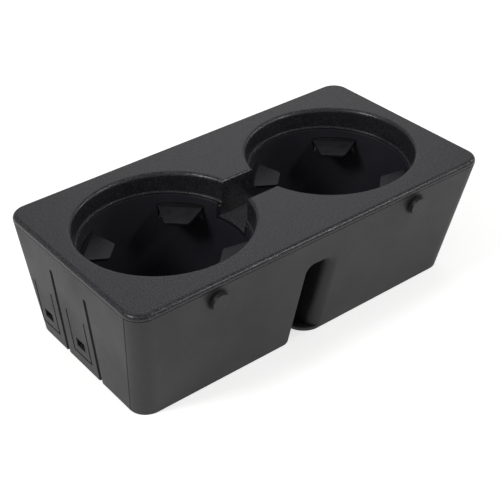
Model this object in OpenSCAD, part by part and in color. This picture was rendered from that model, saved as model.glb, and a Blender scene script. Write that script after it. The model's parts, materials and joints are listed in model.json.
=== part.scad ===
// Car cup holder: a two-cup console insert with a handle channel and sprung grip fingers.
// Millimetres. X runs along the cups, -Y is the front, +Z is up and Z = 0 is the flat base.

/* [Body] */
// Length of the deck
deck_l = 224; // [216:1:240]
// Width of the deck
deck_w = 120; // [116:1:128]
// Height from the base to the deck
body_h = 68; // [64:1:76]
// Radius of the deck's corners seen from above
plan_r = 10; // [8:0.5:12]
// Rounding along the top edge of the deck
edge_r = 2.4; // [1:0.1:2.4]
// Height of the deck moulding's rim, down to the seam
rim_h = 2.6; // [2.5:0.1:3]
// Wall thickness of the housing
wall = 2.5; // [2:0.1:3]
// Thickness of the housing's floor
floor_t = 2; // [1.5:0.1:2.5]
// Distance that the front and back walls lean in by at the base
front_in = 10; // [6:0.5:11]
// Distance that the left end leans in by at the base
left_in = 4; // [2:0.5:6]
// Distance that the right end leans in by at the base
right_in = 15; // [10:0.5:15]
// Depth and height of the shadow groove along the seam
seam_groove = 0.4; // [0.3:0.05:0.6]

/* [Cups] */
// Width of the deck in front of and behind a mouth
side_margin = 14; // [14:0.5:16]
// Width of the deck between a mouth and the deck's end
end_margin = 11; // [11:0.5:12]
// Width of the deck between the two mouths
bridge = 18; // [18:0.5:20]
// Distance that the ring wall leans in by from the mouth to the ledge
ring_lean = 0.6; // [0.4:0.1:0.7]
// Thickness of the ring wall and of the channel's walls
ring_t = 2; // [1.6:0.1:2.2]
// Rounding of the deck into each mouth
rim_r = 2.2; // [1:0.1:2.4]
// Depth of the ledge below the deck at the cup's axis
ledge_z = 12.2; // [11.5:0.1:13]
// Slope of the ledge, down to the front and down to the right
ledge_tilt = [2.6, 0.9];
// Distance of the ledge's opening inside the mouth's radius
ledge_in = 1.4; // [1.3:0.1:1.5]
// Thickness of the ledge's lip
lip_t = 1.3; // [1.2:0.1:1.6]
// Distance of the well's top inside the mouth's radius
well_in = 1.8; // [1.7:0.1:2]
// Distance that the well's wall leans in by from its top to its floor
well_lean = 7.7; // [7:0.1:8.5]
// Fillet between the well's wall and floor
well_fillet = 4; // [2:0.5:6]
// Thickness of the well's wall
well_t = 2; // [1.6:0.1:2.2]
// Width of the flange that seats under the ledge
flange_w = 3.5; // [3:0.5:3.5]

/* [Handle channel] */
// Width of the channel between the cups
channel_w = 21.6; // [18:0.2:23]
// Depth of the channel's floor below the deck
channel_z = 20.5; // [18:0.5:22]
// Rounding of the deck into the channel
channel_r = 1.4; // [0.8:0.1:2]

/* [Grip fingers] */
// Depth of the finger's pivot below the deck
finger_z = 19; // [18.6:0.1:20]
// Distance of the pivot inside the well's top radius
pivot_in = 1.4; // [1.2:0.1:1.6]
// Length of a finger from its pivot to its tip
finger_l = 14.7; // [12:0.1:15]
// Width of a finger at its pivot
finger_root_w = 25.6; // [23:0.2:26]
// Width of a finger at its tip
finger_tip_w = 13.2; // [11:0.2:15]
// Radius of the finger's tip corners
finger_tip_r = 2.5; // [1:0.25:3]
// Thickness of a finger
finger_t = 1.6; // [1.2:0.1:1.8]
// Slope of a finger at rest, down towards the cup's axis
finger_slope = 8; // [4:1:12]
// Angle that a finger bends down through
finger_bend = 55; // [45:1:55]
// Radius of the bead along the finger's root
bead_r = 1.5; // [1.3:0.1:1.6]
// Clearance round the soft finger in its seat
finger_gap = 0.3; // [0.25:0.05:0.35]

/* [Front pocket and pegs] */
// Width of the pocket in the front wall
pocket_w = 16; // [15:0.5:17]
// Depth of the pocket
pocket_d = 22; // [16:0.5:24]
// Depth below the deck of the pocket's top
pocket_top = 18.6; // [18:0.2:24]
// Radius of the pocket's two top corners
pocket_corner_r = 6; // [5:0.5:6.5]
// Rounding of the front wall into the pocket along its right side
pocket_edge_r = 6; // [4.5:0.5:6]
// Sideways place of the pocket at the base
pocket_x = -9; // [-10:0.5:-7]
// Lean of the pocket from upright
pocket_lean = 8.6; // [6:0.2:9]
// Corner radius of the base plate at the pocket's right foot
foot_r = 12; // [10:0.5:12]
// Rounding under the pocket's left foot
left_foot_r = 3; // [2:0.5:4]
// Radius of the locating pegs
peg_r = 4.8; // [4:0.1:5.5]
// Length of the pegs out of the leaning front wall
peg_l = 3.4; // [2.5:0.1:4]
// Depth of the pegs' roots below the deck
peg_z = 9.9; // [9.5:0.1:12]
// Sideways place of the left and the right peg
peg_x = [-65.7, 62.1];

/* [Latch end] */
// Distance between the two latch tongues
tongue_pitch = 31.8; // [30:0.2:34]
// Sideways place of the midpoint between the tongues
tongue_mid = 17.6; // [16:0.2:19]
// Width of a tongue between its slits
tongue_w = 15.6; // [14:0.2:17]
// Depth of the top of the slits below the deck
tongue_top = 34; // [30:0.5:36]
// Depth of the cross slit below the deck
tongue_bottom = 60.5; // [58:0.5:62]
// Width of the slits
slit = 1; // [0.8:0.1:1.4]
// Width and height of the catch window in a tongue
window = [8, 5.4];
// Depth of the window's middle below the deck
window_z = 53.2; // [50:0.1:54]
// Distance of the guide groove from its tongue's middle
groove_off = 15.1; // [14.5:0.1:16]
// Radius of the guide groove
groove_r = 1.4; // [1:0.1:1.5]
// Depth of the groove's top end below the deck
groove_top = 16; // [14:0.5:18]

/* [Hidden] */
$fn = 96;
eps = 0.01;
big = 400;
seam_z = body_h - rim_h;
ring_r = min(deck_w / 2 - side_margin, (deck_l - 2 * end_margin - bridge) / 4);
cup_x = deck_l / 2 - end_margin - ring_r;
lip_r = ring_r - ledge_in;
lip_edge_r = 0.3;
roll_lift = 0.04;
well_top_r = ring_r - well_in;
well_top_z = body_h - ledge_z - lip_t;
well_floor_r = well_top_r - well_lean;
well_inner_z = floor_t + well_t;
well_angle = atan(well_lean / (well_top_z - well_inner_z));
well_over = 6;
finger_pivot_r = well_top_r - pivot_in;
channel_floor = body_h - channel_z;
trough_w = channel_w + 2 * ring_t;
trough_gap = 0.1;
rib_drop = 4;
rib_t = 1.5;
rib_gap = 1.2;
rib_in = wall + rib_gap;
pocket_half = pocket_w / 2;
arch_z = -(pocket_top - rim_h) - pocket_corner_r;
arch_x = pocket_x + tan(pocket_lean) * (seam_z + arch_z);
flare_fade = 3;
flare_lift = 0.05;
foot_y = -deck_w / 2 + front_in + foot_r;
foot_shift = 1;
foot_mid_x = pocket_x + pocket_half + pocket_edge_r - foot_shift;
foot_over = 0.1;
seat_wall = 1.4;
seat_depth = 3;
rest_sweep = 8;
bent_sweep = 12.8;
finger_angles = [45, 135, 225, 315];
front_draft = atan(front_in / seam_z);
left_draft = atan(left_in / seam_z);
right_draft = atan(right_in / seam_z);
deck_grey = "#4a494c";
housing_grey = "#454446";
well_grey = "#1b1b1d";
finger_grey = "#343336";

// Rounded plate with upright sides, centred on the origin
module rounded_plate(l, w, r, h) {
    translate([-l / 2 + r, -w / 2, 0]) cube([l - 2 * r, w, h]);
    translate([-l / 2, -w / 2 + r, 0]) cube([l, w - 2 * r, h]);
    for (sx = [-1, 1], sy = [-1, 1])
        translate([sx * (l / 2 - r), sy * (w / 2 - r), 0]) cylinder(r = r, h = h);
}

// Section outside a shoulder of radius edge_r whose centre is at the origin
module roll_profile() {
    difference() {
        square(edge_r + 1);
        circle(r = edge_r);
    }
}

// Deck slab whose top edge is rolled over all round
module deck_slab() {
    corner_x = deck_l / 2 - plan_r;
    corner_y = deck_w / 2 - plan_r;
    difference() {
        translate([0, 0, seam_z]) rounded_plate(deck_l, deck_w, plan_r, rim_h);
        translate([0, 0, body_h - edge_r]) {
            for (turn = [0, 180]) rotate([0, 0, turn]) {
                translate([-corner_x, -deck_w / 2 + edge_r, 0])
                    rotate([90, 0, 90]) mirror([1, 0, 0]) linear_extrude(2 * corner_x) roll_profile();
                translate([deck_l / 2 - edge_r, corner_y, 0])
                    rotate([90, 0, 0]) linear_extrude(2 * corner_y) roll_profile();
            }
            for (sx = [0, 1], sy = [0, 1]) mirror([sx, 0, 0]) mirror([0, sy, 0])
                translate([corner_x, corner_y, 0]) rotate_extrude(angle = 90)
                    translate([plan_r - edge_r, 0]) roll_profile();
        }
    }
}

// Places its children on the cup's axis at the given depth, sloped as the ledge is
module on_ledge(depth) {
    translate([0, 0, body_h - depth]) rotate([ledge_tilt.x, ledge_tilt.y, 0]) children();
}

// Half of space under the plane that on_ledge places
module under_ledge() {
    translate([-big / 2, -big / 2, -big]) cube(big);
}

// Space of one mouth: the rolled rim and the ring wall above the ledge, and the ledge's opening
module mouth_void() {
    wall_low = ledge_z + well_over;
    difference() {
        translate([0, 0, body_h]) rotate_extrude() {
            polygon([[0, 1], [ring_r, 1], [ring_r, -rim_r],
                     [ring_r - ring_lean * wall_low / ledge_z, -wall_low], [0, -wall_low]]);
            difference() {
                translate([ring_r - eps, -rim_r]) square([rim_r + eps, rim_r + 1]);
                translate([ring_r + rim_r, -rim_r]) circle(r = rim_r);
            }
        }
        on_ledge(ledge_z) under_ledge();
    }
    on_ledge(ledge_z) rotate_extrude() {
        translate([0, -lip_t - 1]) square([lip_r, lip_t + 1 + eps]);
        translate([0, roll_lift - lip_edge_r]) difference() {
            square([lip_r + lip_edge_r, lip_edge_r + eps]);
            translate([lip_r + lip_edge_r, 0]) circle(r = lip_edge_r);
        }
    }
}

// Space of the handle channel. Like the ledge's edge, its rolled edges meet the flat face
// just short of tangent, so that they cross the mouths' rolled rims in clean edges
module channel_void() {
    run = bridge + channel_w;
    translate([-run / 2, 0, 0]) rotate([90, 0, 90]) linear_extrude(run) {
        translate([-channel_w / 2, channel_floor]) square([channel_w, channel_z + 1]);
        for (side = [0, 1]) mirror([side, 0]) difference() {
            translate([0, body_h - channel_r]) square([channel_w / 2 + channel_r, channel_r + 1]);
            translate([channel_w / 2 + channel_r, body_h - channel_r + roll_lift]) circle(r = channel_r);
        }
    }
}

// Leaning wall of a well's space, carried on up past the deck, used to end the trough flush
module well_cone() {
    rise = body_h + 1 - well_inner_z;
    top_r = well_floor_r + rise * tan(well_angle);
    translate([0, 0, well_inner_z])
        rotate_extrude() polygon([[0, 0], [well_floor_r, 0], [top_r, rise], [0, rise]]);
}

module bezel() {
    ring_low = well_top_z - well_over;
    color(deck_grey) difference() {
        union() {
            deck_slab();
            for (side = [-1, 1]) translate([side * cup_x, 0, 0]) difference() {
                translate([0, 0, ring_low]) cylinder(r = ring_r + ring_t, h = seam_z - ring_low + eps);
                on_ledge(ledge_z + lip_t) under_ledge();
            }
            difference() {
                translate([-cup_x + ring_r / 2, -trough_w / 2, channel_floor - ring_t])
                    cube([2 * cup_x - ring_r, trough_w, channel_z]);
                for (side = [-1, 1]) translate([side * cup_x, 0, 0]) well_cone();
            }
            locating_rib();
        }
        for (side = [-1, 1]) translate([side * cup_x, 0, 0]) mouth_void();
        channel_void();
    }
}

// Rib under the deck that drops inside the housing's wall
module locating_rib() {
    l = deck_l - 2 * rib_in;
    w = deck_w - 2 * rib_in;
    r = plan_r - rib_in;
    translate([0, 0, seam_z - rib_drop]) difference() {
        rounded_plate(l, w, r, rib_drop + eps);
        translate([0, 0, -eps])
            rounded_plate(l - 2 * rib_t, w - 2 * rib_t, r - rib_t, rib_drop + 1);
    }
}

// Outward normals of the four leaning walls
n_front = [0, -cos(front_draft), -sin(front_draft)];
n_back = [0, cos(front_draft), -sin(front_draft)];
n_left = [-cos(left_draft), 0, -sin(left_draft)];
n_right = [cos(right_draft), 0, -sin(right_draft)];

// Everything outside a vertical edge that is rounded to radius r between walls n1 and n2
module edge_trim(n1, n2, foot, r) {
    along = cross(n1, n2) / norm(cross(n1, n2));
    across = cross(along, n1);
    turn = acos(n1 * n2);
    reach = 3 * r;
    multmatrix([[n1.x, across.x, along.x, foot.x],
                [n1.y, across.y, along.y, foot.y],
                [n1.z, across.z, along.z, foot.z],
                [0, 0, 0, 1]])
        difference() {
            linear_extrude(big, center = true)
                polygon([[0, 0], [reach, 0],
                         [reach * (1 + cos(turn)), reach * sin(turn)],
                         [reach * cos(turn), reach * sin(turn)]]);
            cylinder(r = r, h = big + 2, center = true);
        }
}

// Body of the housing, its walls moved in by the given distance, between two heights
module tapered_body(inset, z0, z1) {
    r = plan_r - inset;
    half_l = deck_l / 2;
    half_w = deck_w / 2;
    difference() {
        translate([-half_l, -half_w, z0]) cube([deck_l, deck_w, z1 - z0]);
        translate([0, -half_w, seam_z]) rotate([front_draft, 0, 0])
            translate([-big / 2, -big + inset, -big / 2]) cube(big);
        translate([0, half_w, seam_z]) rotate([-front_draft, 0, 0])
            translate([-big / 2, -inset, -big / 2]) cube(big);
        translate([-half_l, 0, seam_z]) rotate([0, -left_draft, 0])
            translate([-big + inset, -big / 2, -big / 2]) cube(big);
        translate([half_l, 0, seam_z]) rotate([0, right_draft, 0])
            translate([-inset, -big / 2, -big / 2]) cube(big);
        for (left = [true, false]) {
            axis_x = left ? -half_l + plan_r / cos(left_draft) : half_l - plan_r / cos(right_draft);
            axis_y = half_w - plan_r / cos(front_draft);
            n_end = left ? n_left : n_right;
            if (left) {
                edge_trim(n_front, n_end, [axis_x, -axis_y, seam_z], r);
                edge_trim(n_end, n_back, [axis_x, axis_y, seam_z], r);
            } else {
                edge_trim(n_end, n_front, [axis_x, -axis_y, seam_z], r);
                edge_trim(n_back, n_end, [axis_x, axis_y, seam_z], r);
            }
        }
    }
}

// Places its children on the front wall's outer face, with the seam's height at zero
module on_front_wall() {
    translate([0, -deck_w / 2, seam_z]) rotate([front_draft, 0, 0]) children();
}

// Places its children on the left end's outer face, with the seam's height at zero
module on_left_end() {
    translate([-deck_l / 2, 0, seam_z]) rotate([0, -left_draft, 0]) children();
}

// Places its children in the pocket's middle, level with its top corners' centres, with Z along it
module at_pocket() {
    on_front_wall() translate([arch_x, 0, arch_z]) rotate([0, pocket_lean, 0]) children();
}

// Leaning slot with two round top corners, its sides moved out by the given amount, cut d deep
module pocket_slot(out, d) {
    half = pocket_half + out;
    corner = pocket_corner_r + out;
    flat = half - corner;
    at_pocket() translate([0, -eps, 0]) {
        translate([-half, 0, -body_h]) cube([2 * half, d + eps, body_h]);
        translate([-flat, 0, -eps]) cube([2 * flat, d + eps, corner + eps]);
        for (x = [-flat, flat]) translate([x, 0, 0]) rotate([-90, 0, 0]) cylinder(r = corner, h = d + eps);
    }
}

// Section between a flat face and a round shoulder that ends just short of tangent to the wall x = wall_x
module flare_profile(wall_x) {
    difference() {
        translate([wall_x - eps, -1]) square([pocket_edge_r + eps, pocket_edge_r + 1]);
        translate([wall_x + pocket_edge_r - flare_lift, pocket_edge_r]) circle(r = pocket_edge_r);
    }
}

// Rolled edge down the pocket's right side. It turns round an axis nearer to the side than the
// top corner's centre, so that it fades out along the pocket's top
module pocket_flare() {
    axis_x = pocket_half - pocket_corner_r + flare_fade;
    at_pocket() {
        translate([0, 0, -body_h]) linear_extrude(body_h) flare_profile(pocket_half);
        translate([axis_x, 0, 0]) rotate([-90, 0, 0])
            rotate_extrude() flare_profile(pocket_corner_r - flare_fade);
    }
}

// Part of the base plate that reaches into the pocket, rounded at the right foot. The round runs
// just past the front wall, so that it meets the wall's foot in a clean corner
module pocket_floor() {
    translate([0, 0, -body_h]) linear_extrude(body_h + floor_t) {
        translate([-big / 2, foot_y]) square(big);
        translate([foot_mid_x, foot_y - foot_over]) circle(r = foot_r);
    }
}

// Space under the rounded edge of the pocket's left foot
module left_foot_round() {
    foot_x = pocket_x - pocket_half / cos(pocket_lean);
    mid_x = foot_x + left_foot_r * (tan(pocket_lean) - 1 / cos(pocket_lean)) + flare_lift;
    touch_z = left_foot_r * (1 - sin(pocket_lean));
    translate([0, foot_y, 0]) rotate([90, 0, 0]) linear_extrude(2 * foot_r) difference() {
        translate([mid_x, -1]) square([foot_x - mid_x + 1, touch_z + 1]);
        translate([mid_x, left_foot_r]) circle(r = left_foot_r);
    }
}

// U-shaped slit, catch window and guide groove of one latch tongue
module latch_cuts() {
    top = -(tongue_top - rim_h);
    bottom = -(tongue_bottom - rim_h);
    through = 3 * wall;
    for (side = [-1, 1])
        translate([-through / 2, side * (tongue_w + slit) / 2 - slit / 2, bottom])
            cube([through, slit, top - bottom]);
    translate([-through / 2, -tongue_w / 2 - slit, bottom - slit])
        cube([through, tongue_w + 2 * slit, slit + eps]);
    translate([-through / 2, -window.x / 2, -(window_z - rim_h) - window.y / 2])
        cube([through, window.x, window.y]);
    translate([0, -groove_off, -(groove_top - rim_h)]) {
        sphere(r = groove_r);
        translate([0, 0, -body_h]) cylinder(r = groove_r, h = body_h);
    }
}

module housing() {
    color(housing_grey) difference() {
        union() {
            difference() {
                tapered_body(0, 0, seam_z - seam_groove);
                tapered_body(wall, floor_t, seam_z + 1);
            }
            difference() {
                tapered_body(seam_groove, seam_z - seam_groove - eps, seam_z);
                tapered_body(wall, floor_t, seam_z + 1);
            }
            intersection() {
                tapered_body(0, 0, seam_z - seam_groove);
                pocket_slot(wall, pocket_d + wall);
            }
            for (x = peg_x) peg(x);
        }
        difference() {
            union() {
                pocket_slot(0, pocket_d);
                pocket_flare();
            }
            pocket_floor();
        }
        left_foot_round();
        for (side = [-1, 1])
            on_left_end() translate([0, tongue_mid + side * tongue_pitch / 2, 0]) latch_cuts();
    }
}

// Locating peg that stands out of the front wall, square to it
module peg(x) {
    on_front_wall() translate([x, wall / 2, -(peg_z - rim_h) / cos(front_draft)]) rotate([90, 0, 0])
        cylinder(r = peg_r, h = wall / 2 + peg_l);
}

// Leaning wall, filleted floor, seating flange and seat blocks of one well, round the cup's axis
module well_shell() {
    rise = well_top_z + well_over - floor_t;
    outer_r = well_floor_r + well_t;
    top_r = outer_r + rise * tan(well_angle);
    difference() {
        union() {
            translate([0, 0, floor_t])
                rotate_extrude() polygon([[0, 0], [outer_r, 0], [top_r, rise], [0, rise]]);
            on_ledge(ledge_z + lip_t)
                translate([0, 0, -well_t]) cylinder(r = well_top_r + flange_w, h = well_t);
            for (angle = finger_angles) rotate([0, 0, angle]) seat_block();
        }
        rotate_extrude() well_section();
        on_ledge(ledge_z + lip_t) mirror([0, 0, 1]) under_ledge();
    }
}

// Section of the space inside a well
module well_section() {
    top = well_top_z + well_over;
    fillet_x = well_floor_r - well_fillet * (1 / cos(well_angle) - tan(well_angle));
    fillet_z = well_inner_z + well_fillet;
    below = well_inner_z - 1;
    difference() {
        polygon([[0, well_inner_z], [well_floor_r, well_inner_z],
                 [well_top_r + well_over * tan(well_angle), top], [0, top]]);
        difference() {
            polygon([[fillet_x, fillet_z], [fillet_x, below], [well_floor_r + well_t, below],
                     [fillet_x + well_fillet * cos(well_angle), fillet_z - well_fillet * sin(well_angle)]]);
            translate([fillet_x, fillet_z]) circle(r = well_fillet);
        }
    }
}

// Places its children at one finger's pivot, with X pointing out of the cup
module at_pivot(angle) {
    rotate([0, 0, angle]) translate([finger_pivot_r, 0, body_h - finger_z]) children();
}

// Block behind the well's wall that holds one finger's bead
module seat_block() {
    block_w = finger_root_w + 2 * (finger_gap + well_t);
    half_h = bead_r + finger_gap + seat_wall;
    at_pivot(0) translate([-seat_depth, -block_w / 2, -half_h])
        cube([seat_depth + half_h, block_w, 2 * half_h]);
}

// Bead seat and the wedge that a finger sweeps through as it bends. The wedge tapers as the finger does
module seat_void() {
    half_w = finger_root_w / 2 + finger_gap;
    taper = (finger_root_w - finger_tip_w) / 2 / finger_l;
    low = finger_slope + finger_bend;
    clear = finger_t / 2 + finger_gap;
    over = clear * [-sin(finger_slope), cos(finger_slope)];
    under = clear * [sin(low), -cos(low)];
    at_pivot(0) {
        rotate([90, 0, 0]) cylinder(r = bead_r + finger_gap, h = 2 * half_w, center = true);
        intersection() {
            rotate([90, 0, 0]) linear_extrude(3 * half_w, center = true)
                polygon([[0, 0], over, over - rest_sweep * [cos(finger_slope), sin(finger_slope)],
                         under - bent_sweep * [cos(low), sin(low)], under]);
            linear_extrude(big, center = true)
                polygon([[clear, -half_w], [0, -half_w], [-finger_l, taper * finger_l - half_w],
                         [-finger_l, half_w - taper * finger_l], [0, half_w], [clear, half_w]]);
        }
    }
}

// One well. The channel side is +X for inward = 1 and -X for inward = -1
module well(inward) {
    color(well_grey) difference() {
        well_shell();
        for (angle = finger_angles) rotate([0, 0, angle]) seat_void();
        translate([inward > 0 ? 0 : -big, -trough_w / 2 - trough_gap, channel_floor - ring_t - trough_gap])
            cube([big, trough_w + 2 * trough_gap, big]);
    }
}

module well_left() { translate([-cup_x, 0, 0]) well(1); }
module well_right() { translate([cup_x, 0, 0]) well(-1); }

// Outline of a finger: a tapering flap with rounded tip corners
module finger_outline() {
    root = finger_root_w / 2;
    tip = finger_tip_w / 2;
    side = [tip - root, finger_l] / norm([tip - root, finger_l]);
    inward = [-side.y, side.x];
    round_y = finger_l - finger_tip_r;
    round_x = root + (finger_tip_r - inward.y * round_y) / inward.x;
    touch = [round_x, round_y] - finger_tip_r * inward;
    polygon([[-root, 0], [root, 0], touch, [round_x, round_y], [round_x, finger_l],
             [-round_x, finger_l], [-round_x, round_y], [-touch.x, touch.y]]);
    for (s = [-1, 1]) translate([s * round_x, round_y]) circle(r = finger_tip_r);
}

// Flap and bead of one finger
module finger(angle) {
    color(finger_grey) at_pivot(angle) {
        rotate([90, 0, 0]) cylinder(r = bead_r, h = finger_root_w, center = true);
        rotate([0, -finger_slope, 0]) rotate([0, 0, 90])
            translate([0, 0, -finger_t / 2]) linear_extrude(finger_t) finger_outline();
    }
}

module finger_l1() { translate([-cup_x, 0, 0]) finger(finger_angles[0]); }
module finger_l2() { translate([-cup_x, 0, 0]) finger(finger_angles[1]); }
module finger_l3() { translate([-cup_x, 0, 0]) finger(finger_angles[2]); }
module finger_l4() { translate([-cup_x, 0, 0]) finger(finger_angles[3]); }
module finger_r1() { translate([cup_x, 0, 0]) finger(finger_angles[0]); }
module finger_r2() { translate([cup_x, 0, 0]) finger(finger_angles[1]); }
module finger_r3() { translate([cup_x, 0, 0]) finger(finger_angles[2]); }
module finger_r4() { translate([cup_x, 0, 0]) finger(finger_angles[3]); }

bezel();
housing();
well_left();
well_right();
finger_l1();
finger_l2();
finger_l3();
finger_l4();
finger_r1();
finger_r2();
finger_r3();
finger_r4();
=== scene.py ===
"""Looks of the car cup holder: moulded finishes, mould marks and the studio."""

import json
import math

import bpy
from bpy.props import FloatProperty, FloatVectorProperty, PointerProperty, StringProperty
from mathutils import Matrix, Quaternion, Vector


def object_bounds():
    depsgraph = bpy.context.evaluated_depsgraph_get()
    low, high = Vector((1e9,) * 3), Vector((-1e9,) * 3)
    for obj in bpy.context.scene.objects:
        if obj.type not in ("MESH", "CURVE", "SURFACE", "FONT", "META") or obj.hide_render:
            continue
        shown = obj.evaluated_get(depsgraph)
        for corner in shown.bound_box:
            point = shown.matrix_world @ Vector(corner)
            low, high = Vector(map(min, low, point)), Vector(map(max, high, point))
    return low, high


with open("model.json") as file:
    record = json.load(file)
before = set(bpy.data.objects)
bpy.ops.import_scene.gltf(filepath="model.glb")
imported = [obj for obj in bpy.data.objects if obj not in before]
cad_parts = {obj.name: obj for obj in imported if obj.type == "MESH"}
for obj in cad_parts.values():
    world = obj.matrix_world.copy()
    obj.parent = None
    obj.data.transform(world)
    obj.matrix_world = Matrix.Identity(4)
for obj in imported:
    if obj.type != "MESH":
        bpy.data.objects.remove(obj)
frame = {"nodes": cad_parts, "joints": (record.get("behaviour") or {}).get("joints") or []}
cad_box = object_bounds()

bl_info = {
    "name": "Car cup holder looks",
    "version": (1, 0, 0),
    "blender": (4, 5, 0),
    "location": "3D View > Sidebar > Cup holder",
    "description": "Finishes, mould marks and studio of a car cup holder",
    "category": "Object",
}

MM = 0.001

# Refractive index of polypropylene, and near enough that of the fingers' rubber
PLASTIC_IOR = 1.49

# The deck's relief: how many crumbs lie across one pebble, and the crumbs' share of the height
CRUMBS_PER_PEBBLE = 1.7
CRUMB_SHARE = 0.55

# The trough's cut ends are polished below this height, where they face along X by more than
# POLISHED_FACING, and get painted shade: the wells' colour darkened by a factor
POLISHED_TOP_Z = cad_box[1][2] - 14.5 * MM
POLISHED_FACING = 0.6
POLISHED_END_PAINTED_SHADE = 0.6

# The left end's leaning wall stands to the left of this X over its whole height
LEFT_END_X = cad_box[0][0] + 22.0 * MM
# The parting line's place on the left end at the base, how far it leans to the front per height, and
# the distances from its middle at which it starts and ends to fade
PARTING_Y = -40.5 * MM
PARTING_LEAN = 0.162
PARTING_CORE = 0.1 * MM
PARTING_RIM = 0.4 * MM

# Each finger's hinge runs through the middle of its bead. The hinges stand on the diagonals of the cups,
# and HINGE_REACH is the sum of their distances across and along from the cup's axis
HINGES = [joint["pos_m"] for joint in frame["joints"]]
CUP_X = sum(abs(x) for x, y, z in HINGES) / len(HINGES)
HINGE_REACH = sum(abs(abs(x) - CUP_X) + abs(y) for x, y, z in HINGES) / len(HINGES)
# The bead's radius, and half the width over which its mark fades in
BEAD_R = 1.5 * MM
BEAD_FADE = 0.2 * MM

# Marks and creases are given painted shade: the plastic's colour in shade. A mark is also drawn as a
# shallow dent, and a crease gets painted shade where its walls are nearer than its reach
PAINTED_SHADE_FACTOR = 0.12
MARK_DENT = 0.25 * MM
CREASE_REACH = 3.0 * MM

# Share of the fine grain in the smooth plastics' tone. The rest is the wide bloom's
GRAIN_SHARE = 0.5

# The floor lies just under the base, so that the two faces never share a plane
FLOOR_SIZE = 6.0
FLOOR_GAP = 0.2 * MM
# The floor's glow to the camera and to glossy rays
FLOOR_SEEN = 0.6
FLOOR_MIRRORED = 0.45

# Width of the camera's sensor, which the lens in millimetres goes with
SENSOR_MM = 36.0

# Name, place, width in metres and power in watts of each round lamp. All of them face LAMP_AIM
LAMP_AIM = (0, 0, 0.03)
LAMPS = (
    ("lamp_back", (0.74, 0.99, 0.86), 0.9, 0.7),
    ("lamp_left", (-1.0, 0.15, 1.05), 0.4, 6.6),
    ("lamp_key", (0.76, -0.86, 0.94), 0.25, 3.3),
    ("lamp_rim", (1.35, -0.32, 0.6), 0.22, 1.8),
)


class HolderLooks(bpy.types.PropertyGroup):
    """Colours and grain sizes of the mouldings"""
    deck_hex: StringProperty(
        name="Deck colour", default="1b1a1c",
        description="Colour of the grained deck as sRGB hex")
    # Paler tops of the deck's grain: partly rubbed tone, partly painted glints
    rubbed_and_glint_hex: StringProperty(
        name="Deck grain tops", default="605e65",
        description="Colour of the rubbed tops of the deck's grain as sRGB hex")
    housing_hex: StringProperty(
        name="Housing colour", default="262326",
        description="Colour of the smooth housing as sRGB hex")
    well_hex: StringProperty(
        name="Well colour", default="2a292f",
        description="Colour of the wells as sRGB hex")
    rubber_hex: StringProperty(
        name="Finger colour", default="212025",
        description="Colour of the soft fingers as sRGB hex")
    pebble_mm: FloatProperty(
        name="Deck grain", default=0.85, min=0.3, max=4.0,
        description="Width of one pebble of the deck's grain in millimetres")
    pebble_depth_mm: FloatProperty(
        name="Deck grain depth", default=0.15, min=0.0, max=0.5,
        description="Depth of the deck's grain in millimetres")
    satin_mm: FloatProperty(
        name="Fine grain", default=0.7, min=0.2, max=3.0,
        description="Width of the fine grain of the housing, wells and fingers in millimetres")
    edge_mm: FloatProperty(
        name="Edge radius", default=0.35, min=0.0, max=1.0,
        description="Radius that the mould leaves on each sharp edge, in millimetres")
    deck_edge_mm: FloatProperty(
        name="Deck edge radius", default=0.7, min=0.0, max=1.5,
        description="Radius on the deck's sharp edges, such as the ledges', in millimetres")


class StageLooks(bpy.types.PropertyGroup):
    """Camera, room light and floor"""
    eye: FloatVectorProperty(
        name="Camera place", default=(-0.30673, -0.40845, 0.37945), subtype="XYZ", unit="LENGTH",
        description="Place of the camera")
    target: FloatVectorProperty(
        name="Camera target", default=(-0.03802, -0.04852, 0.068), subtype="XYZ", unit="LENGTH",
        description="Point in the middle of the picture")
    roll_deg: FloatProperty(
        name="Camera roll", default=-2.006,
        description="Turn of the camera about its line of sight in degrees")
    lens_mm: FloatProperty(
        name="Lens", default=82.163, min=10.0, max=300.0,
        description="Focal length on a sensor 36 mm wide")
    sky: FloatProperty(
        name="Room light", default=0.31, min=0.0, max=3.0,
        description="Strength of the even light of the room")
    floor_hex: StringProperty(
        name="Floor colour", default="f4f3f2",
        description="Floor colour as sRGB hex")


def linear(hex_colour):
    """sRGB hex to the linear colour that a shader socket takes"""
    out = []
    for i in (0, 2, 4):
        v = int(hex_colour[i:i + 2], 16) / 255
        out.append(v / 12.92 if v <= 0.04045 else ((v + 0.055) / 1.055) ** 2.4)
    return (*out, 1.0)


def shade(colour, part):
    """A linear colour made darker or lighter by a factor"""
    return tuple(c * part for c in colour[:3]) + (1.0,)


def add_node(tree, kind, settings=None, **inputs):
    """Adds one shader node. An input is named as on the node, with _ for a blank, or by its number, as
    i0. It takes a value or another node's output"""
    node = tree.nodes.new(kind)
    for name, value in (settings or {}).items():
        setattr(node, name, value)
    for name, value in inputs.items():
        numbered = name[0] == "i" and name[1:].isdigit()
        socket = node.inputs[int(name[1:]) if numbered else name.replace("_", " ")]
        if isinstance(value, bpy.types.NodeSocket):
            tree.links.new(value, socket)
        else:
            socket.default_value = value
    return node


def new_material(name):
    """An empty material and its node tree"""
    material = bpy.data.materials.new(name)
    material.use_nodes = True
    material.node_tree.nodes.clear()
    return material, material.node_tree


def finish_material(tree, shader):
    """Sends a shader to the material's output"""
    add_node(tree, "ShaderNodeOutputMaterial", Surface=shader)


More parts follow.
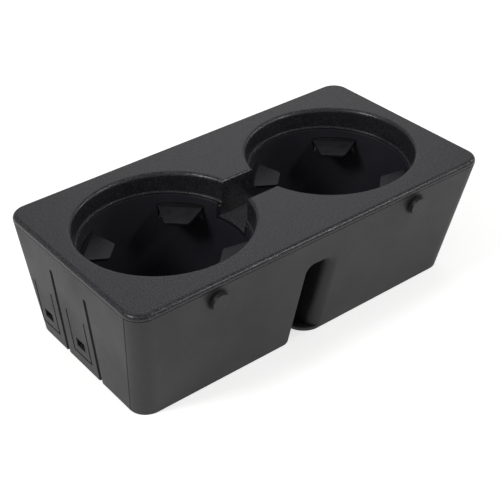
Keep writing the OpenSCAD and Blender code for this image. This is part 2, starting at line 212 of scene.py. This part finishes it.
def grained_polypropylene(looks):
    """Black talc-filled polypropylene moulded against an etched leather grain. The pebbles scatter the
    light into fine speckles, and rub slightly shinier on top than in the valleys between them. Their
    paler tops are partly rubbed tone and partly painted glints.
    The real etch is too fine to show, so it is drawn one to two pixels wide. Steep walls drag along
    the tool as it opens, so their grain is etched shallower. The cut ends of the handle channel's
    trough, below the ledges, come off a polished part of the tool, and get painted shade, darker than the
    wells"""
    material, tree = new_material("polypropylene_etched_grain")
    coords = add_node(tree, "ShaderNodeTexCoord")
    place = coords.outputs["Object"]
    scale = 1 / (looks.pebble_mm * MM)
    pebbles = add_node(tree, "ShaderNodeTexVoronoi", {"feature": "SMOOTH_F1"}, Vector=place, Scale=scale,
                       Smoothness=0.6, Randomness=1.0)
    crumbs = add_node(tree, "ShaderNodeTexNoise", Vector=place,
                      Scale=scale * CRUMBS_PER_PEBBLE, Detail=2.0, Roughness=0.6)
    relief = add_node(tree, "ShaderNodeMix", {"data_type": "FLOAT"}, i0=CRUMB_SHARE,
                      i2=pebbles.outputs["Distance"], i3=crumbs.outputs["Fac"])

    # 1 on the polished ends
    place_xyz = add_node(tree, "ShaderNodeSeparateXYZ", Vector=place)
    facing_xyz = add_node(tree, "ShaderNodeSeparateXYZ", Vector=coords.outputs["Normal"])
    low = add_node(tree, "ShaderNodeMath", {"operation": "LESS_THAN"},
                   i0=place_xyz.outputs["Z"], i1=POLISHED_TOP_Z)
    sideways = add_node(tree, "ShaderNodeMath", {"operation": "ABSOLUTE"}, i0=facing_xyz.outputs["X"])
    end = add_node(tree, "ShaderNodeMath", {"operation": "GREATER_THAN"},
                   i0=sideways.outputs[0], i1=POLISHED_FACING)
    polished = add_node(tree, "ShaderNodeMath", {"operation": "MULTIPLY"},
                        i0=low.outputs[0], i1=end.outputs[0])

    # Less than 1 on steep walls
    drawn = add_node(tree, "ShaderNodeMapRange", Value=facing_xyz.outputs["Z"],
                     From_Min=0.2, From_Max=0.8, To_Min=0.6, To_Max=1.0)
    # Painted glints, partly the grain's rubbed tone: the pebbles' tops are paler, less so on steep walls
    rubbed_and_glint = add_node(tree, "ShaderNodeMapRange", Value=crumbs.outputs["Fac"],
                      From_Min=0.48, From_Max=0.68, To_Min=0.0, To_Max=drawn.outputs["Result"])
    grain_tone = add_node(tree, "ShaderNodeMix", {"data_type": "RGBA"}, i0=rubbed_and_glint.outputs["Result"],
                          i6=linear(looks.deck_hex), i7=linear(looks.rubbed_and_glint_hex))
    # The polished ends take the wells' colour, darkened as painted shade
    colour = add_node(tree, "ShaderNodeMix", {"data_type": "RGBA"}, i0=polished.outputs[0],
                      i6=grain_tone.outputs[2], i7=shade(linear(looks.well_hex), POLISHED_END_PAINTED_SHADE))
    gloss = add_node(tree, "ShaderNodeMapRange", Value=crumbs.outputs["Fac"],
                     From_Min=0.35, From_Max=0.65, To_Min=0.32, To_Max=0.18)
    rounded = add_node(tree, "ShaderNodeBevel", {"samples": 8}, Radius=looks.deck_edge_mm * MM)
    etched = add_node(tree, "ShaderNodeMath", {"operation": "SUBTRACT"}, i0=1.0, i1=polished.outputs[0])
    strength = add_node(tree, "ShaderNodeMath", {"operation": "MULTIPLY"},
                        i0=etched.outputs[0], i1=drawn.outputs["Result"])
    bump = add_node(tree, "ShaderNodeBump", Strength=strength.outputs[0],
                    Distance=looks.pebble_depth_mm * MM, Height=relief.outputs[0],
                    Normal=rounded.outputs["Normal"])
    shader = add_node(tree, "ShaderNodeBsdfPrincipled", Base_Color=colour.outputs[2],
                      Roughness=gloss.outputs["Result"], IOR=PLASTIC_IOR, Normal=bump.outputs["Normal"])
    finish_material(tree, shader.outputs["BSDF"])
    return material


def witness_line(tree, place):
    """1 along the tool's parting line, which runs down the left end beside the front corner, and 0
    elsewhere. It leans towards the middle on its way down, and is drawn 0.5 mm wide so that it shows"""
    xyz = add_node(tree, "ShaderNodeSeparateXYZ", Vector=place)
    along = add_node(tree, "ShaderNodeMath", {"operation": "MULTIPLY_ADD"},
                     i0=xyz.outputs["Z"], i1=PARTING_LEAN, i2=-PARTING_Y)
    off = add_node(tree, "ShaderNodeMath", {"operation": "ADD"}, i0=xyz.outputs["Y"], i1=along.outputs[0])
    near = add_node(tree, "ShaderNodeMath", {"operation": "ABSOLUTE"}, i0=off.outputs[0])
    line = add_node(tree, "ShaderNodeMapRange", Value=near.outputs[0],
                    From_Min=PARTING_CORE, From_Max=PARTING_RIM, To_Min=1.0, To_Max=0.0)
    left = add_node(tree, "ShaderNodeMath", {"operation": "LESS_THAN"}, i0=xyz.outputs["X"], i1=LEFT_END_X)
    on_line = add_node(tree, "ShaderNodeMath", {"operation": "MULTIPLY"},
                       i0=line.outputs["Result"], i1=left.outputs[0])
    return on_line.outputs[0]


def finger_bead(tree, place):
    """1 on the bead of each finger and 0 on its blade. On a cup's diagonals, the distances across and
    along from its axis add up to the reach of the root line, where a blade meets its bead"""
    root_reach = HINGE_REACH - math.sqrt(2) * BEAD_R
    xyz = add_node(tree, "ShaderNodeSeparateXYZ", Vector=place)
    side = add_node(tree, "ShaderNodeMath", {"operation": "ABSOLUTE"}, i0=xyz.outputs["X"])
    from_axis = add_node(tree, "ShaderNodeMath", {"operation": "SUBTRACT"}, i0=side.outputs[0], i1=CUP_X)
    across = add_node(tree, "ShaderNodeMath", {"operation": "ABSOLUTE"}, i0=from_axis.outputs[0])
    along = add_node(tree, "ShaderNodeMath", {"operation": "ABSOLUTE"}, i0=xyz.outputs["Y"])
    reach = add_node(tree, "ShaderNodeMath", {"operation": "ADD"},
                     i0=across.outputs[0], i1=along.outputs[0])
    bead = add_node(tree, "ShaderNodeMapRange", Value=reach.outputs[0],
                    From_Min=root_reach - BEAD_FADE, From_Max=root_reach + BEAD_FADE,
                    To_Min=0.0, To_Max=1.0)
    return bead.outputs["Result"]


def smooth_plastic(name, hex_colour, looks, depth_mm, bloom_mm, roughness, uneven=0.12, mark=None):
    """Black plastic moulded against a smooth or blasted tool. It has a soft sheen, and its fine bloom is
    uneven, as on a moulding that was handled. Its fine grain is drawn one to two pixels wide, because
    the real one is too fine to show. Creases and slits get painted shade, darker and duller.
    mark gives the factor of a fine mark, which gets a dent and painted shade, from the material's tree and
    place"""
    material, tree = new_material(name)
    place = add_node(tree, "ShaderNodeTexCoord").outputs["Object"]
    blast = add_node(tree, "ShaderNodeTexNoise", Vector=place, Scale=1 / (looks.satin_mm * MM),
                     Detail=2.0, Roughness=0.55)
    bloom = add_node(tree, "ShaderNodeTexNoise", Vector=place, Scale=1 / (bloom_mm * MM),
                     Detail=4.0, Roughness=0.55)
    patchy = add_node(tree, "ShaderNodeMix", {"data_type": "FLOAT"}, i0=GRAIN_SHARE,
                      i2=bloom.outputs["Fac"], i3=blast.outputs["Fac"])
    tone = add_node(tree, "ShaderNodeMapRange", Value=patchy.outputs[0],
                    From_Min=0.35, From_Max=0.65, To_Min=0.0, To_Max=1.0)
    base = linear(hex_colour)
    painted_shade_colour = shade(base, PAINTED_SHADE_FACTOR)
    colour = add_node(tree, "ShaderNodeMix", {"data_type": "RGBA"}, i0=tone.outputs["Result"],
                      i6=shade(base, 1 - uneven), i7=shade(base, 1 + uneven))
    # Painted shade: the colour darkens and the finish dulls where ambient occlusion finds walls within
    # CREASE_REACH
    open_air = add_node(tree, "ShaderNodeAmbientOcclusion", {"samples": 8, "only_local": True},
                        Distance=CREASE_REACH)
    crease_painted_shade = add_node(tree, "ShaderNodeMapRange", Value=open_air.outputs["AO"],
                      From_Min=0.45, From_Max=0.9, To_Min=1.0, To_Max=0.0)
    colour = add_node(tree, "ShaderNodeMix", {"data_type": "RGBA"}, i0=crease_painted_shade.outputs["Result"],
                      i6=colour.outputs[2], i7=painted_shade_colour)
    rounded = add_node(tree, "ShaderNodeBevel", {"samples": 6}, Radius=looks.edge_mm * MM)
    matt = crease_painted_shade.outputs["Result"]
    if mark:
        marked = mark(tree, place)
        # Painted shade along the mark, which is also dented and made duller
        colour = add_node(tree, "ShaderNodeMix", {"data_type": "RGBA"}, i0=marked,
                          i6=colour.outputs[2], i7=painted_shade_colour)
        rounded = add_node(tree, "ShaderNodeBump", {"invert": True}, Strength=1.0,
                           Distance=MARK_DENT, Height=marked, Normal=rounded.outputs["Normal"])
        duller = add_node(tree, "ShaderNodeMath", {"operation": "MAXIMUM"}, i0=matt, i1=marked)
        matt = duller.outputs[0]
    gloss = add_node(tree, "ShaderNodeMapRange", Value=bloom.outputs["Fac"],
                     From_Min=0.3, From_Max=0.7, To_Min=roughness[0], To_Max=roughness[1])
    rough = add_node(tree, "ShaderNodeMix", {"data_type": "FLOAT"}, i0=matt,
                     i2=gloss.outputs["Result"], i3=1.0)
    bump = add_node(tree, "ShaderNodeBump", Strength=1.0, Distance=depth_mm * MM,
                    Height=blast.outputs["Fac"], Normal=rounded.outputs["Normal"])
    shader = add_node(tree, "ShaderNodeBsdfPrincipled", Base_Color=colour.outputs[2],
                      Roughness=rough.outputs[0], IOR=PLASTIC_IOR, Normal=bump.outputs["Normal"])
    finish_material(tree, shader.outputs["BSDF"])
    return material


def studio_paper(floor_hex):
    """White matt paper. It glows to the camera, so that the ground looks as white as in the photograph,
    and less to glossy rays, so that the object's sheen shows it too. It adds no diffuse light"""
    material, tree = new_material("studio_paper")
    path = add_node(tree, "ShaderNodeLightPath")
    seen = add_node(tree, "ShaderNodeMath", {"operation": "MAXIMUM"},
                    i0=path.outputs["Is Camera Ray"], i1=path.outputs["Is Glossy Ray"])
    level = add_node(tree, "ShaderNodeMapRange", Value=path.outputs["Is Camera Ray"],
                     To_Min=FLOOR_MIRRORED, To_Max=FLOOR_SEEN)
    glow = add_node(tree, "ShaderNodeMath", {"operation": "MULTIPLY"},
                    i0=seen.outputs[0], i1=level.outputs["Result"])
    paper = add_node(tree, "ShaderNodeBsdfPrincipled", Base_Color=linear(floor_hex), Roughness=0.9,
                     Emission_Color=(1, 1, 1, 1), Emission_Strength=glow.outputs[0])
    finish_material(tree, paper.outputs["BSDF"])
    return material


def studio_room(sky):
    """Even light from all sides, and plain white where the camera sees past the floor"""
    world = bpy.data.worlds.new("studio_room")
    world.use_nodes = True
    tree = world.node_tree
    tree.nodes.clear()
    path = add_node(tree, "ShaderNodeLightPath")
    seen = add_node(tree, "ShaderNodeMath", {"operation": "MAXIMUM"},
                    i0=path.outputs["Is Camera Ray"], i1=path.outputs["Is Transmission Ray"])
    strength = add_node(tree, "ShaderNodeMapRange", Value=seen.outputs[0], To_Min=sky, To_Max=1.0)
    background = add_node(tree, "ShaderNodeBackground", Color=(1, 1, 1, 1),
                          Strength=strength.outputs["Result"])
    add_node(tree, "ShaderNodeOutputWorld", Surface=background.outputs["Background"])
    return world


def dress(nodes, material):
    """Puts one finish on CAD nodes"""
    for name in nodes:
        piece = frame["nodes"][name]
        if not piece.material_slots:
            piece.data.materials.append(material)
        for slot in piece.material_slots:
            slot.material = material


class CUPHOLDER_OT_deck(bpy.types.Operator):
    """Gives the deck, ring walls and handle channel their etched grain"""
    bl_idname = "cupholder.deck"
    bl_label = "Deck finish"

    def execute(self, context):
        dress(["bezel"], grained_polypropylene(context.scene.cupholder_looks))
        return {"FINISHED"}


class CUPHOLDER_OT_housing(bpy.types.Operator):
    """Gives the housing its smooth matt finish"""
    bl_idname = "cupholder.housing"
    bl_label = "Housing finish"

    def execute(self, context):
        looks = context.scene.cupholder_looks
        # Polypropylene moulded against a blasted tool is matt, with a broad and slightly patchy sheen
        # The parting line along the left end gets a dent and painted shade, standing in for the shade in
        # its crease
        matt = smooth_plastic("polypropylene_blasted_matt", looks.housing_hex, looks, depth_mm=0.08,
                              bloom_mm=29.0, roughness=(0.44, 0.58), uneven=0.3, mark=witness_line)
        dress(["housing"], matt)
        return {"FINISHED"}


class CUPHOLDER_OT_wells(bpy.types.Operator):
    """Gives both wells their smooth dark finish"""
    bl_idname = "cupholder.wells"
    bl_label = "Well finish"

    def execute(self, context):
        looks = context.scene.cupholder_looks
        # Polypropylene moulded against a smoother tool is satin, and looks nearly black deep in the cups
        satin = smooth_plastic("polypropylene_polished_satin", looks.well_hex, looks, depth_mm=0.01,
                               bloom_mm=29.0, roughness=(0.36, 0.46))
        dress(["well_left", "well_right"], satin)
        return {"FINISHED"}


class CUPHOLDER_OT_fingers(bpy.types.Operator):
    """Gives the eight grip fingers their soft satin finish"""
    bl_idname = "cupholder.fingers"
    bl_label = "Finger finish"

    def execute(self, context):
        looks = context.scene.cupholder_looks
        # Moulded thermoplastic rubber has a satin skin with small dull patches. Its beads get painted
        # shade, the shade of the seats they turn in, and are made duller
        rubber = smooth_plastic("thermoplastic_rubber_satin", looks.rubber_hex, looks, depth_mm=0.01,
                                bloom_mm=5.0, roughness=(0.36, 0.5), uneven=0.3, mark=finger_bead)
        dress([name for name in frame["nodes"] if name.startswith("finger_")], rubber)
        return {"FINISHED"}


class CUPHOLDER_OT_stage(bpy.types.Operator):
    """Sets up the floor, the room, the lamps and the camera"""
    bl_idname = "cupholder.stage"
    bl_label = "Stage"

    def execute(self, context):
        stage = context.scene.cupholder_stage
        scene = context.scene
        bpy.ops.object.select_all(action="DESELECT")
        bpy.ops.mesh.primitive_plane_add(size=FLOOR_SIZE, location=(0, 0, -FLOOR_GAP))
        floor = context.active_object
        floor.name = "floor"
        floor.data.materials.append(studio_paper(stage.floor_hex))
        scene.world = studio_room(stage.sky)

        for name, place, width, watts in LAMPS:
            bpy.ops.object.light_add(type="AREA", location=place)
            lamp = context.active_object
            lamp.name = name
            lamp.data.shape = "DISK"
            lamp.data.size = width
            lamp.data.energy = watts
            lamp.rotation_mode = "QUATERNION"
            lamp.rotation_quaternion = (Vector(LAMP_AIM) - Vector(place)).to_track_quat("-Z", "Y")

        bpy.ops.object.camera_add(location=stage.eye)
        camera = context.active_object
        camera.name = "camera"
        sight = Vector(stage.target) - Vector(stage.eye)
        camera.rotation_mode = "QUATERNION"
        camera.rotation_quaternion = (Quaternion(sight.normalized(), math.radians(-stage.roll_deg))
                                      @ sight.to_track_quat("-Z", "Y"))
        camera.data.sensor_width = SENSOR_MM
        camera.data.lens = stage.lens_mm
        camera.data.clip_start = 0.01
        camera.data.clip_end = 20.0
        scene.camera = camera
        scene.view_settings.view_transform = "Standard"
        return {"FINISHED"}


class CUPHOLDER_PT_panel(bpy.types.Panel):
    """Lists the values of the finishes and the stage, and the operators"""
    bl_label = "Car cup holder"
    bl_idname = "CUPHOLDER_PT_panel"
    bl_space_type = "VIEW_3D"
    bl_region_type = "UI"
    bl_category = "Cup holder"

    def draw(self, context):
        for group in (context.scene.cupholder_looks, context.scene.cupholder_stage):
            box = self.layout.box()
            for name in group.__annotations__:
                box.prop(group, name)
        for step in STEPS:
            self.layout.operator(step.bl_idname)


STEPS = (
    CUPHOLDER_OT_stage,
    CUPHOLDER_OT_deck,
    CUPHOLDER_OT_housing,
    CUPHOLDER_OT_wells,
    CUPHOLDER_OT_fingers,
)
CLASSES = (HolderLooks, StageLooks, *STEPS, CUPHOLDER_PT_panel)


def register():
    for cls in CLASSES:
        bpy.utils.register_class(cls)
    bpy.types.Scene.cupholder_looks = PointerProperty(type=HolderLooks)
    bpy.types.Scene.cupholder_stage = PointerProperty(type=StageLooks)


def unregister():
    del bpy.types.Scene.cupholder_looks
    del bpy.types.Scene.cupholder_stage
    for cls in reversed(CLASSES):
        bpy.utils.unregister_class(cls)


def main():
    register()
    for step in STEPS:
        group, name = step.bl_idname.split(".")
        getattr(getattr(bpy.ops, group), name)()


if __name__ == "__main__":
    main()
